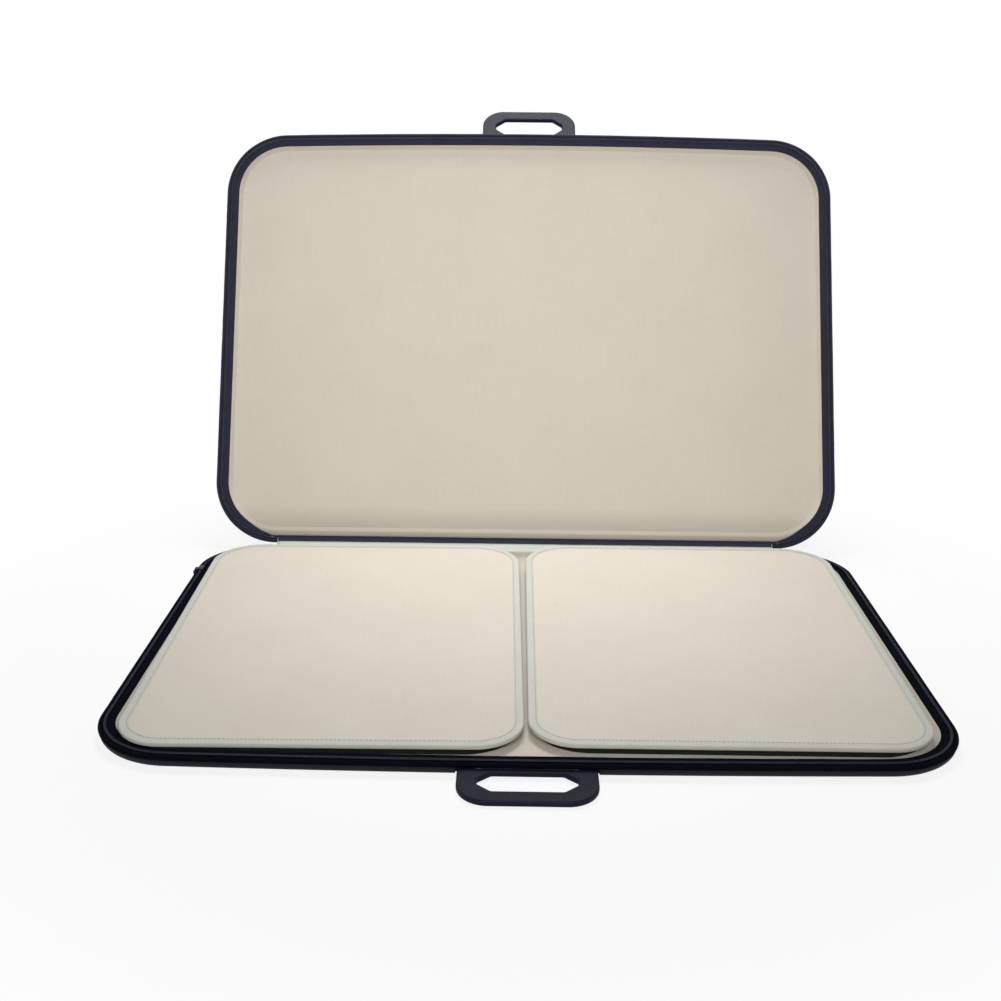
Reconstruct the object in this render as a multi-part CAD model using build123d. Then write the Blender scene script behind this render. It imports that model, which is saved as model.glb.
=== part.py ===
from build123d import *
import math
import os

os.makedirs("parts", exist_ok=True)

# Puzzle carrier, millimetres. X runs along the hinge, Y away from the carrying side, Z up.
# The origin is the middle of the base half's underside.

# Driving sizes of one half
case_width = 800
case_depth = 550
corner_radius = 80
front_bow = 4.5
half_height = 15
open_angle = 114.5

# Layers of a half, measured up from its outer face
cloth = 1.0
stiffener = 2.0
pad = 2.0
lining = 0.7
tape = 0.6

# Rim of a half: insets are measured inwards from the outline
wall_inset = 1.2
wall_drop = 6.8
wall_round = 7.0
piping_radius = 2.4
coil_radius = 1.1
coil_inset = 6.8
tape_outer = 5.0
tape_inner = 15.0
seam_inset = 15.6
flange_inset = 12.0
foot_inset = 19.0
panel_inset = 20.0
rim_drop = 3.4
tape_run_on = 2
rear_gap = case_width / 2 - corner_radius - tape_run_on

wall_top = half_height - wall_drop
stiffener_top = cloth + stiffener
pad_top = stiffener_top + pad
floor_top = pad_top + lining
rim_top = half_height - rim_drop
tape_top = rim_top + tape
flange_bottom = rim_top - tape

# Handle, measured outwards from its hinge pin
handle_width = 124
handle_reach = 56
handle_thick = 6
handle_round = 28
handle_near = 4
handle_edge = 2
grip_near = 9.5
grip_far = 39.5
grip_flat = 63
grip_wide = 88
grip_end = 8
grip_round = 4
pin_inset = 7
pin_height = 4.5
pin_radius = 1.2
knuckle_radius = 3.2
lug_inner = 45
lug_slack = 0.5
neck_thick = 4.4
droop_angle = 1.35
lean_angle = 27.5
swing_gap = 0.35
pocket_side = 1.2
press_gap = 0.05

# Sorting boards: each room is what is left to the foot of the wall, at the side and at the front
left_room = (2.2, 4)
right_room = (6, 11)
between_room = 5.8
rear_inset = 19
rear_ease = 5
front_ease = 15
board_width = (case_width - 2 * foot_inset - left_room[0] - between_room - right_room[0]) / 2
board_depth = case_depth - foot_inset - right_room[1] - rear_inset
rear_round = corner_radius - foot_inset - rear_ease
front_round = corner_radius - foot_inset - front_ease
binding = 0.8
binding_cover = 9
board_core = 3.9
board_thick = 5.5
underlay = 6.4
underlay_inset = 3
hinge_end_lift = 5.1
board_raise = math.degrees(math.asin(hinge_end_lift / board_depth))
left_turn = 0.6
board_clear = 0.15

# Zipper slider, parked at the hinge end of the left side
slider_park = 12
slider_spot = case_depth / 2 - corner_radius - slider_park
slider_length = 12
slider_side = 1.4
slider_roof = half_height + 0.5
slider_skin = 1.0
pull_height = half_height - 6.5
pull_length = 24
pull_width = 5.4
pull_thick = 1.1
pull_bore = 1.0
pull_room = 1.9
pull_head = 2.0
pull_eye = 3.2
pull_drop = 12


front_edge = -case_depth / 2
rear_edge = case_depth / 2
left_edge = -case_width / 2


# Follow an outline with its inside on the left: a stretch is a turn (radius, angle) or a run (None, length)
def follow(start, heading, stretches):
    here = Vector(*start)
    placed = []
    for radius, extent in stretches:
        ahead = Vector(1, 0).rotate(Axis.Z, heading)
        inwards = Vector(0, 1).rotate(Axis.Z, heading)
        centre = here + inwards * radius if radius else None
        placed.append((here, ahead, inwards, heading, centre, radius, extent))
        if radius:
            here = centre + (here - centre).rotate(Axis.Z, extent)
            heading += extent
        else:
            here = here + ahead * extent
    return placed


# Outline of a half: straight at the hinge and the sides, a shallow arc on the carrying side
run_half = case_width / 2 - corner_radius
arc_radius = (run_half**2 + front_bow**2) / (2 * front_bow)
arc_angle = math.degrees(math.asin(run_half / (arc_radius - corner_radius)))
arc_rise = arc_radius * (1 - math.cos(math.radians(arc_angle)))
arc_start = (-arc_radius * math.sin(math.radians(arc_angle)), front_edge + arc_rise)
corner_rise = corner_radius * math.cos(math.radians(arc_angle))
side_run = case_depth - arc_rise - corner_rise - corner_radius
rear_turns = [(corner_radius, 90), (None, 2 * run_half), (corner_radius, 90)]
near_turn = (corner_radius, 90 - arc_angle)
front_turns = [(arc_radius, 2 * arc_angle), near_turn]
case_outline = follow(
    arc_start,
    -arc_angle,
    [*front_turns, (None, side_run), *rear_turns, (None, side_run), near_turn],
)


# Outline of a sorting board or of its underlay: a rounded rectangle with its own corners at the front
def board_path(round_front):
    side = (None, board_depth - round_front - rear_round)
    front = [(None, board_width - 2 * round_front), (round_front, 90)]
    rear = [(rear_round, 90), (None, board_width - 2 * rear_round), (rear_round, 90)]
    start = (round_front - board_width / 2, -board_depth / 2)
    return follow(start, 0, [*front, side, *rear, side, (round_front, 90)])


board_outline = board_path(front_round)
underlay_outline = board_path(rear_round)


def slab(inset, bottom, top, outline=case_outline):
    edges = []
    for here, ahead, inwards, heading, centre, radius, extent in outline:
        start = here + inwards * inset
        if radius:
            edges.append(CenterArc(centre, radius - inset, heading - 90, extent))
        else:
            edges.append(Line(start, start + ahead * extent))
    return Pos(0, 0, bottom) * extrude(make_face(edges), top - bottom, dir=(0, 0, 1))


def board_slab(inset, bottom, top):
    return slab(inset, bottom, top, board_outline)


def block(x_range, y_range, z_range):
    size = [high - low for low, high in (x_range, y_range, z_range)]
    middle = [(high + low) / 2 for low, high in (x_range, y_range, z_range)]
    return Pos(*middle) * Box(*size)


# Carry a section, drawn as (inset, height), round an outline
def loop(section, outline=case_outline):
    stretches = []
    for here, ahead, inwards, heading, centre, radius, extent in outline:
        drawn = Plane(here, x_dir=inwards, z_dir=ahead) * section
        if radius:
            stretches.append(revolve(drawn, Axis(centre, (0, 0, 1)), extent))
        else:
            stretches.append(extrude(drawn, extent, dir=ahead))
    return Part() + stretches


def section_of(points):
    return make_face(Polyline(points, close=True))


def bead(inset, height, radius, seat):
    below = Pos(inset, seat - radius) * Rectangle(4 * radius, 2 * radius)
    return Pos(inset, height) * Circle(radius) - below


# A slab whose lower edge is rounded, the shape of the cover outside and inside
def tub(inset, bottom, top, edge):
    body = slab(inset, bottom, top)
    return fillet(body.faces().sort_by(Axis.Z)[0].edges(), edge)


# Where the zipper stops short of the hinge: cutting blocks that reach past the rim
past_rim = 5
rim_band = (rear_edge - tape_inner - past_rim, rear_edge + past_rim)
stop_size = 4
coil_end = rear_gap + 2 * stop_size
rear_opening = block((-rear_gap, rear_gap), rim_band, (rim_top, half_height))
coil_gap = block((-coil_end, coil_end), rim_band, (rim_top, half_height))

# Handle pocket in the carrying side, and the slot for the anchor behind it
pocket_half = handle_width / 2 + pocket_side
pocket_top = wall_top - 0.4
notch_reach = pin_inset + 2
pocket_reach = 2 * pin_inset
outside_case = front_edge - past_rim
cover_notch = block((-pocket_half, pocket_half), (outside_case, front_edge + notch_reach), (-1, pocket_top))
core_pocket = block((-pocket_half, pocket_half), (outside_case, front_edge + pocket_reach), (0, pocket_top))
anchor_half = 41
anchor_reach = 46
anchor_thick = 1.4
anchor_room = 1
anchor_top = stiffener_top + anchor_thick
anchor_gap = (-anchor_half - anchor_room, anchor_half + anchor_room)
slot_end = front_edge + panel_inset + anchor_room
anchor_slot = block(anchor_gap, (front_edge, slot_end), (0, anchor_top + board_clear))
pad_slot = block(anchor_gap, (front_edge, front_edge + anchor_reach + anchor_room), (0, pad_top))

# Cover: a flat outer panel and the gusset that curves up round it to the piping
gusset_start = wall_inset + wall_round
cover_inside = tub(wall_inset + cloth, cloth, half_height, wall_round - cloth)
cover_whole = tub(wall_inset, 0, wall_top, wall_round) - cover_inside
outer_panel = slab(gusset_start, 0, cloth)
side_gusset = cover_whole - outer_panel - cover_notch

# Stiffening layers
rivet_radius = 2
rivet_head = 3.6
rivet_pitch = 11
rivet_x = anchor_half - 13
rivet_y = front_edge + anchor_reach - 6
rivet_spots = [(x, y) for x in (-rivet_x, rivet_x) for y in (rivet_y - rivet_pitch, rivet_y)]
rivet_drill = Cylinder(rivet_radius + press_gap, 2 * pad_top)
rivet_holes = [Pos(x, y, stiffener_top) * rivet_drill for x, y in rivet_spots]
stiffener_board = slab(panel_inset, cloth, stiffener_top) - rivet_holes
foam_pad = slab(panel_inset, stiffener_top, pad_top) - pad_slot

# Foam core of the wall: outer face follows the cover, inner face carries the sloped lining
core_start = wall_inset + cloth
core_round = wall_round - cloth
core_edge = Polyline(
    (core_start, cloth + core_round),
    (core_start, wall_top),
    (tape_outer, wall_top),
    (tape_outer, rim_top),
    (flange_inset, rim_top),
    (flange_inset, flange_bottom),
    (seam_inset, flange_bottom),
    (foot_inset, pad_top),
    (panel_inset, pad_top),
    (panel_inset, cloth),
    (core_start + core_round, cloth),
)
core_bend = RadiusArc((core_start + core_round, cloth), (core_start, cloth + core_round), core_round)
wall_core = loop(make_face(core_edge + core_bend)) - core_pocket - anchor_slot

# Lining: a flat floor and the wall that slopes up from its foot to a flange under the tape
floor_inset = foot_inset + 2
foot_bend = 0.6
seam_bend = 0.4
lining_wall = section_of(
    [
        (flange_inset, flange_bottom),
        (seam_inset, flange_bottom),
        (foot_inset, pad_top),
        (floor_inset, pad_top),
        (floor_inset, floor_top),
        (foot_inset + foot_bend, floor_top),
        (seam_inset + seam_bend, rim_top),
        (flange_inset, rim_top),
    ]
)
half_lining = loop(lining_wall) + slab(floor_inset, pad_top, floor_top)

# Rim: piping, zipper tape, coil and the stops at the coil's ends
piping_sunk = 0.4
coil_sunk = 0.2
piping_height = wall_top + piping_radius - piping_sunk
coil_height = tape_top + coil_radius - coil_sunk
piping = loop(bead(piping_radius, piping_height, piping_radius, wall_top))
zipper_tape = slab(tape_outer, rim_top, tape_top) - slab(tape_inner, rim_top, tape_top) - rear_opening
zipper_coil = loop(bead(coil_inset, coil_height, coil_radius, tape_top)) - coil_gap
stop_width = 2.8
stop_height = 2.1
stop_middle = coil_end - stop_size / 2
stop_y = rear_edge - coil_inset - 0.3
standing = (Align.CENTER, Align.CENTER, Align.MIN)
stop_block = Box(stop_size, stop_width, stop_height, align=standing)
zipper_stops = [Pos(side * stop_middle, stop_y, tape_top) * stop_block for side in (-1, 1)]

# Handle anchor on the stiffener, with the knuckle that holds the pin
pin_y = front_edge + pin_inset
across = Plane((0, front_edge, 0), x_dir=(0, 1, 0), z_dir=(1, 0, 0))
knuckle = Pos(pin_inset, pin_height) * Circle(knuckle_radius)
web_end = pin_inset + knuckle_radius
web = section_of(
    [(pin_inset, stiffener_top), (web_end, stiffener_top), (web_end, pin_height), (pin_inset, pin_height)]
)
arm = section_of(
    [
        (pin_inset, stiffener_top),
        (anchor_reach, stiffener_top),
        (anchor_reach, anchor_top),
        (pin_inset, anchor_top),
    ]
)
pin_round = Pos(pin_inset, pin_height) * Circle(pin_radius)
pin_bore = Pos(pin_inset, pin_height) * Circle(pin_radius + press_gap)
handle_anchor = extrude(across * (knuckle + web + arm - pin_bore), anchor_half, both=True) - rivet_holes
handle_pin = extrude(across * pin_round, handle_width / 2 - 1, both=True)
rivet_shank = Cylinder(rivet_radius, anchor_top - cloth, align=standing)
rivet_cap = Cylinder(rivet_head, pad_top - anchor_top, align=standing)
anchor_rivets = [Pos(x, y, cloth) * rivet_shank + Pos(x, y, anchor_top) * rivet_cap for x, y in rivet_spots]


# Handle: a flat ring with a six-sided grip and two lugs on the pin, drawn with Y outwards
def handle(angle):
    body = Pos(0, (handle_near + handle_reach) / 2) * Rectangle(handle_width, handle_reach - handle_near)
    outer = body.vertices().group_by(Axis.Y)[-1]
    body = fillet(outer, handle_round)
    end_low = (grip_near + grip_far - grip_end) / 2
    end_high = (grip_near + grip_far + grip_end) / 2
    grip_points = [
        (-grip_flat / 2, grip_near),
        (grip_flat / 2, grip_near),
        (grip_wide / 2, end_low),
        (grip_wide / 2, end_high),
        (grip_flat / 2, grip_far),
        (-grip_flat / 2, grip_far),
        (-grip_wide / 2, end_high),
        (-grip_wide / 2, end_low),
    ]
    opening = make_face(Polyline(grip_points, close=True))
    opening = fillet(opening.vertices(), grip_round)
    ring = extrude(body - opening, handle_thick / 2, both=True)
    rims = ring.faces().filter_by(Axis.Z).edges()
    ring = fillet(rims, handle_edge)
    lug_width = handle_width / 2 - lug_slack - lug_inner
    lug_radius = knuckle_radius - lug_slack
    for side in (-1, 1):
        spot = side * (lug_inner + lug_width / 2)
        lug = Pos(spot, 0, 0) * Rot(0, 90, 0) * Cylinder(lug_radius, lug_width)
        neck = Pos(spot, handle_near, 0) * Box(lug_width, 2 * handle_near, neck_thick)
        bore = Pos(spot, 0, 0) * Rot(0, 90, 0) * Cylinder(pin_radius + swing_gap, 2 * lug_width)
        ring = ring + lug + neck - bore
    ring = Pos(0, pin_y, pin_height) * Rot(0, 0, 180) * ring
    return ring.rotate(Axis((0, pin_y, pin_height), (1, 0, 0)), angle)


# Turn a piece of the base half into the same piece of the standing lid
hinge_axis = Axis((0, rear_edge, half_height), (1, 0, 0))


def lid_place(piece):
    flat = Pos(0, case_depth, 0) * Rot(0, 0, 180) * piece
    return flat.rotate(hinge_axis, 180 - open_angle)


# Hinge cloth: each flange is sewn to one rim and ends at the fold line
fold_gap = 0.3
fold_start = 6
fold_top = half_height - fold_gap / 2
hinge_flange = section_of(
    [
        (tape_inner, rim_top),
        (fold_start, rim_top),
        (fold_gap, fold_top - tape),
        (fold_gap, fold_top),
        (fold_start, tape_top),
        (tape_inner, tape_top),
    ]
)
rear = Plane((0, rear_edge, 0), x_dir=(0, -1, 0), z_dir=(-1, 0, 0))
strip_gap = 0.5
hinge_cloth = extrude(rear * hinge_flange, rear_gap - strip_gap, both=True)
strip_half = rear_gap - 2 * strip_gap
strip_near = 1.6
strip_far = 8.6
strip_low = tape_top + (fold_top - tape_top) * (fold_start - strip_near) / (fold_start - fold_gap)
rear_strip = section_of(
    [
        (strip_far, tape_top),
        (fold_start, tape_top),
        (strip_near, strip_low),
        (strip_near, strip_low + tape),
        (fold_start, tape_top + tape),
        (strip_far, tape_top + tape),
    ]
)
rear_binding = extrude(rear * rear_strip, strip_half, both=True)

# Slider: a saddle over the coil, an arm over the piping and a pin for the pull outside the wall
coil_clear = 0.3
channel_half = coil_radius + coil_clear
saddle_low = tape_top + coil_clear
saddle_y = (slider_spot - slider_length / 2, slider_spot + slider_length / 2)
arm_half = slider_length / 4
arm_y = (slider_spot - arm_half, slider_spot + arm_half)
arm_top = slider_roof - 1.2
arm_low = slider_roof - 2.4
saddle_near = left_edge + coil_inset - channel_half - slider_side
saddle_far = left_edge + coil_inset + channel_half + slider_side
saddle = block((saddle_near, saddle_far), saddle_y, (saddle_low, slider_roof))
channel = block(
    (saddle_near + slider_side, saddle_far - slider_side),
    (slider_spot - slider_length, slider_spot + slider_length),
    (0, slider_roof - slider_skin),
)
plate_near = left_edge - 1.2
plate_far = left_edge - 0.4
plate_low = pull_height - 2 * pull_bore
slider_arm = block((plate_near, saddle_near + slider_skin), arm_y, (arm_low, arm_top))
slider_plate = block((plate_near, plate_far), arm_y, (plate_low, arm_top))
pull_axis = Axis((plate_near, slider_spot, pull_height), (1, 0, 0))
outwards = Pos(plate_near, slider_spot, pull_height) * Rot(0, -90, 0)
pull_pin = outwards * Cylinder(pull_bore, pull_room, align=standing)
pin_head = outwards * Pos(0, 0, pull_room) * Cylinder(pull_head, pull_head / 4, align=standing)
zipper_slider = saddle - channel + slider_arm + slider_plate + pull_pin + pin_head

outside = Plane((plate_near - swing_gap, slider_spot, pull_height), x_dir=(0, 1, 0), z_dir=(-1, 0, 0))
tab_round = pull_width / 2 - 0.1
pull_tab = Pos(pull_length / 2, 0) * RectangleRounded(pull_length, pull_width, tab_round) + Circle(pull_eye)
pull_tab -= Circle(pull_bore + swing_gap)
pull_tab -= Pos(pull_length * 0.7, 0) * SlotOverall(pull_length / 3, pull_bore * 2)
zipper_pull = extrude(outside * pull_tab, pull_thick).rotate(pull_axis, -pull_drop)

# Sorting board, built flat with its bound part above zero and its underlay below
board_core_solid = board_slab(binding, binding, board_core) + board_slab(binding_cover, 0, binding)
board_face = board_slab(binding, board_core, board_thick - binding)
binding_shell = Pos(binding_cover / 2, board_thick / 2) * Rectangle(binding_cover, board_thick)
binding_shell = fillet(binding_shell.vertices().group_by(Axis.X)[0], 2 * binding)
binding_room = Rectangle(binding_cover, board_thick - 2 * binding)
binding_inside = Pos(binding + binding_cover / 2, board_thick / 2) * binding_room
board_binding = loop(binding_shell - binding_inside, board_outline)
board_underlay = slab(underlay_inset, -underlay, 0, underlay_outline)


# Lay a board in the base: its hinge end rides up on the sloped lining
def board_place(piece, side, room, turn):
    level = floor_top + board_clear + underlay
    front_toe = front_edge + foot_inset + room[1]
    middle_x = side * (case_width / 2 - foot_inset - room[0] - board_width / 2)
    laid = Pos(middle_x, front_toe + board_depth / 2, level) * Rot(0, 0, turn) * piece
    return laid.rotate(Axis((0, front_toe, level - underlay), (1, 0, 0)), board_raise)


half_pieces = {
    "outer_panel": outer_panel,
    "side_gusset": side_gusset,
    "stiffener_board": stiffener_board,
    "foam_pad": foam_pad,
    "wall_core": wall_core,
    "lining": half_lining,
    "piping": piping,
    "zipper_tape": zipper_tape,
    "zipper_coil": zipper_coil,
    "handle_anchor": handle_anchor,
    "handle_pin": handle_pin,
}
half_groups = {"zipper_stops": zipper_stops, "anchor_rivets": anchor_rivets}
board_pieces = {
    "board_core": board_core_solid,
    "board_face": board_face,
    "board_binding": board_binding,
    "board_underlay": board_underlay,
}

nodes = {}
for name, piece in half_pieces.items():
    nodes["base_" + name] = piece
    nodes["lid_" + name] = lid_place(piece)
for name, group in half_groups.items():
    nodes["base_" + name] = Compound(children=group)
    nodes["lid_" + name] = Compound(children=[lid_place(piece) for piece in group])
for name, piece in board_pieces.items():
    nodes["left_" + name] = board_place(piece, -1, left_room, left_turn)
    nodes["right_" + name] = board_place(piece, 1, right_room, 0)
nodes["base_handle"] = handle(droop_angle)
nodes["lid_handle"] = lid_place(handle(lean_angle))
nodes["base_hinge_cloth"] = hinge_cloth
nodes["lid_hinge_cloth"] = lid_place(hinge_cloth)
nodes["lid_rear_binding"] = lid_place(rear_binding)
nodes["zipper_slider"] = zipper_slider
nodes["zipper_pull"] = zipper_pull

for name, piece in nodes.items():
    export_step(piece, "parts/" + name + ".step")
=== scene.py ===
import math

import bmesh
import bpy
import numpy as np
from mathutils import Matrix


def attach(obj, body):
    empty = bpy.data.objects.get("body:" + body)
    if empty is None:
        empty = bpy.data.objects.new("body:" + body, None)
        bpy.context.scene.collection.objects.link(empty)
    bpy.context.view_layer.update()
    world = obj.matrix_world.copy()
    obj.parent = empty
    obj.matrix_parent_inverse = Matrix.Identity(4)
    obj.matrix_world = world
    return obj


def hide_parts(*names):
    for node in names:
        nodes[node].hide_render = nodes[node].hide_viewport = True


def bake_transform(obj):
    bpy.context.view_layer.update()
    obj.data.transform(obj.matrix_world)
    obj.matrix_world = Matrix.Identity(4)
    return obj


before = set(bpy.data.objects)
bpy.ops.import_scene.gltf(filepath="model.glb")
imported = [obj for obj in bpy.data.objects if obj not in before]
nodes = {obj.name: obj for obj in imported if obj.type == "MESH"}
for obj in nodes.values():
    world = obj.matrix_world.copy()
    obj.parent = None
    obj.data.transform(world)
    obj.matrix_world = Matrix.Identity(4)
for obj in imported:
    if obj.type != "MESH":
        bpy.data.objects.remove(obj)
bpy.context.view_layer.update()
print("frame:", len(nodes), "nodes")

# Lengths are millimetres where no note says metres; the place functions turn points into metres
mm = 0.001
case = dict(width=800, depth=550, rear=80, front=80, bow=4.5, half=15, openAngle=114.5)
board = dict(width=374, depth=501, rear=56, front=46, bow=0, lift=5.1, level=12.25, underlay=6.4)
boardSpots = dict(
    left=dict(x=-191.8, front=-252, turn=0.6),
    right=dict(x=188, front=-245, turn=0.0),
)


# Turn about the x axis by an angle, round a line at (y, z): y' = y cos - z sin, z' = y sin + z cos
def turnAboutX(points, degrees, y, z):
    cos = math.cos(math.radians(degrees))
    sin = math.sin(math.radians(degrees))
    moved = points.copy()
    moved[..., 1] = y + (points[..., 1] - y) * cos - (points[..., 2] - z) * sin
    moved[..., 2] = z + (points[..., 1] - y) * sin + (points[..., 2] - z) * cos
    return moved


def placeBase(points):
    return np.asarray(points, float) * mm


# The lid is the base half turned round, laid behind the hinge and folded up about it
def placeLid(points):
    flat = np.asarray(points, float) * np.array([-1, -1, 1]) + np.array([0, case["depth"], 0])
    return turnAboutX(flat, 180 - case["openAngle"], case["depth"] / 2, case["half"]) * mm


# A board is turned a little on the floor, then its hinge end is raised about its front toe
def placeBoard(side):
    spot = boardSpots[side]
    turn = math.radians(spot["turn"])
    raised = math.degrees(math.asin(board["lift"] / board["depth"]))

    def place(points):
        points = np.asarray(points, float)
        laid = points.copy()
        laid[..., 0] = points[..., 0] * math.cos(turn) - points[..., 1] * math.sin(turn) + spot["x"]
        laid[..., 1] = points[..., 0] * math.sin(turn) + points[..., 1] * math.cos(turn)
        laid[..., 1] += spot["front"] + board["depth"] / 2
        laid[..., 2] += board["level"]
        return turnAboutX(laid, raised, spot["front"], board["level"] - board["underlay"]) * mm

    return place


# A rounded rectangle is a frame of corner centres pushed out by the corner radius. Along a run the point and
# the radius move on, on a corner only the direction turns. On a bowed front the direction turns along the
# run too, as on an arc. The walk starts at the middle of the rear side and goes to the left.
def ringWalk(shape):
    rearRun = shape["width"] / 2 - shape["rear"]
    frontRun = shape["width"] / 2 - shape["front"]
    rear = shape["depth"] / 2 - shape["rear"]
    front = shape["front"] - shape["depth"] / 2
    lean = 0.0
    if shape["bow"]:
        arc = (frontRun * frontRun + shape["bow"] ** 2) / (2 * shape["bow"])
        lean = math.asin(frontRun / (arc - shape["front"]))
        front = -shape["depth"] / 2 + arc - (arc - shape["front"]) * math.cos(lean)
    bend = shape["front"] * (math.pi / 2 - lean)
    turn = shape["rear"] * math.pi / 2
    x = np.array([0, -rearRun, -rearRun, -frontRun, -frontRun, frontRun, frontRun, rearRun, rearRun, 0])
    y = np.repeat([rear, front, rear], [3, 4, 3])
    tilt = math.degrees(lean)
    angle = np.radians([90, 90, 180, 180, 270 - tilt, 270 + tilt, 360, 360, 450, 450])
    radius = np.repeat([shape["rear"], shape["front"], shape["rear"]], [3, 4, 3])
    side = rear - front
    lengths = [rearRun, turn, side, bend, 2 * frontRun, bend, side, turn, rearRun]
    walked = np.concatenate([[0], np.cumsum(lengths)])
    return walked, x, y, angle, radius


# Lengths along the walk at which a ring is sampled, close together on the corners
def ringSteps(shape, runStep, turnSteps, gap=0):
    walked = ringWalk(shape)[0]
    parts = []
    for k in range(len(walked) - 1):
        count = turnSteps if k % 2 else math.ceil((walked[k + 1] - walked[k]) / runStep)
        parts.append(np.linspace(walked[k], walked[k + 1], count, endpoint=False))
    steps = np.concatenate(parts)
    if gap:
        kept = steps[(steps > gap) & (steps < walked[-1] - gap)]
        steps = np.concatenate([[gap], kept, [walked[-1] - gap]])
    return steps


# Carries (inset, height) points round the ring: frame point + (radius - inset) along the direction. On a
# bowed front the frame point sags by the bow times (1 - the squared share of the half run).
def carry(shape, steps, inset, height):
    walked, x, y, angle, radius = ringWalk(shape)
    along = np.mod(steps, walked[-1])[:, None]
    direction = np.interp(along, walked, angle)
    out = np.interp(along, walked, radius) - np.atleast_2d(inset)
    middle = np.interp(along, walked, x)
    sag = shape["bow"] * np.clip(1 - (middle / x[5]) ** 2, 0, 1) * (np.sin(direction) < -0.9)
    px = middle + out * np.cos(direction)
    py = np.interp(along, walked, y) - sag + out * np.sin(direction)
    return np.stack([px, py, np.broadcast_to(np.atleast_2d(height), px.shape)], axis=-1)


# Share of a corner turn at each step: about 0 on the runs, a hump of 1 at the middle of each corner
def cornerShare(shape, steps):
    walked, _, _, angle, _ = ringWalk(shape)
    direction = np.interp(np.mod(steps, walked[-1]), walked, angle)
    return np.sin(2 * direction) ** 2


# Soft uneven height: a few slow sine waves with fixed directions, lengths and phases
def uneven(x, y, wave, seed):
    chance = np.random.default_rng(seed)
    waves = 6
    total = 0
    for angle, length, phase in chance.uniform((0, 0.6, 0), (2 * math.pi, 1.6, 2 * math.pi), (waves, 3)):
        along = x * math.cos(angle) + y * math.sin(angle)
        total = total + np.sin(along * 2 * math.pi / (wave * length) + phase)
    return total / waves


# Smooth step from 0 to 1: three t squared less two t cubed
def smooth(t):
    t = np.clip(t, 0, 1)
    return t * t * (3 - 2 * t)


def unit(directions):
    return directions / np.linalg.norm(directions, axis=1)[:, None]


# Rows drawn in from an edge to the middle: x and y shrink by each share, the height stays
def drawnIn(edge, share):
    return edge * np.stack([share, share, np.ones_like(share)], axis=-1)[None]


# Closes both ends of a tube: a row more at each end, drawn together at the middle of the end section
def capped(points):
    first = np.repeat(points[:1].mean(axis=1, keepdims=True), points.shape[1], 1)
    last = np.repeat(points[-1:].mean(axis=1, keepdims=True), points.shape[1], 1)
    return np.concatenate([first, points, last], axis=0)


# Puts points and four-cornered faces into a mesh, with the cloth's flat coordinates on each face corner
def meshPiece(name, points, faces, flat, material, merge=False, sharp=42):
    mesh = bpy.data.meshes.new(name)
    mesh.vertices.add(len(points))
    mesh.vertices.foreach_set("co", np.ascontiguousarray(points, np.float32).ravel())
    mesh.loops.add(faces.size)
    mesh.loops.foreach_set("vertex_index", np.ascontiguousarray(faces, np.int32).ravel())
    mesh.polygons.add(len(faces))
    mesh.polygons.foreach_set("loop_start", np.arange(0, faces.size, 4, dtype=np.int32))
    mesh.uv_layers.new(name="cut").data.foreach_set("uv", np.ascontiguousarray(flat, np.float32).ravel())
    mesh.update(calc_edges=True)
    if merge:
        work = bmesh.new()
        work.from_mesh(mesh)
        bmesh.ops.remove_doubles(work, verts=work.verts, dist=2e-6)
        work.to_mesh(mesh)
        work.free()
    mesh.polygons.foreach_set("use_smooth", np.ones(len(mesh.polygons), bool))
    mesh.set_sharp_from_angle(angle=math.radians(sharp))
    mesh.materials.append(material)
    piece = bpy.data.objects.new(name, mesh)
    bpy.context.scene.collection.objects.link(piece)
    return piece


# A grid (rows, columns) becomes quads between neighbours. A closed way joins its last line to its first, and
# its flat coordinates have one line more. A solid that comes out inside out is turned by its volume's sign.
def gridPiece(
    name, points, flat, material, closedRows=False, closedColumns=False, flip=False, solid=False, merge=False
):
    rows, columns = points.shape[:2]
    i, j = np.meshgrid(
        np.arange(rows if closedRows else rows - 1),
        np.arange(columns if closedColumns else columns - 1),
        indexing="ij",
    )
    cornerI = np.stack([i, i + 1, i + 1, i], axis=-1).reshape(-1, 4)
    cornerJ = np.stack([j, j, j + 1, j + 1], axis=-1).reshape(-1, 4)
    faces = (cornerI % rows) * columns + cornerJ % columns
    spots = points.reshape(-1, 3)
    if solid:
        a, b, c, d = (spots[faces[:, k]] for k in range(4))
        volume = (a * (np.cross(b, c) + np.cross(c, d))).sum()
        flip = volume < 0
    if flip:
        faces = faces[:, ::-1]
        cornerI = cornerI[:, ::-1]
        cornerJ = cornerJ[:, ::-1]
    return meshPiece(name, spots, faces, flat[cornerI, cornerJ].reshape(-1, 2), material, merge)


# Flat coordinates in metres: length along the ring across one way, length along the profile the other
def stripFlat(shape, steps, inset, height, closedRows, closedColumns):
    along = np.append(steps, ringWalk(shape)[0][-1]) if closedRows else steps
    inset = np.append(inset, inset[0]) if closedColumns else np.asarray(inset)
    height = np.append(height, height[0]) if closedColumns else np.asarray(height)
    across = np.concatenate([[0], np.cumsum(np.hypot(np.diff(inset), np.diff(height)))])
    return np.stack(np.meshgrid(along, across, indexing="ij"), axis=-1) * mm


# Flat coordinates in metres as seen from above, with the first row again at the end to close the ring
def flatFromAbove(points):
    flat = points[..., :2] * mm
    return np.concatenate([flat, flat[:1]], axis=0)


# Gives a sheet its thickness, on the inner side
def thicken(piece, thickness):
    layer = piece.modifiers.new("cloth", "SOLIDIFY")
    layer.thickness = thickness * mm
    layer.offset = -1
    layer.use_quality_normals = True


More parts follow.
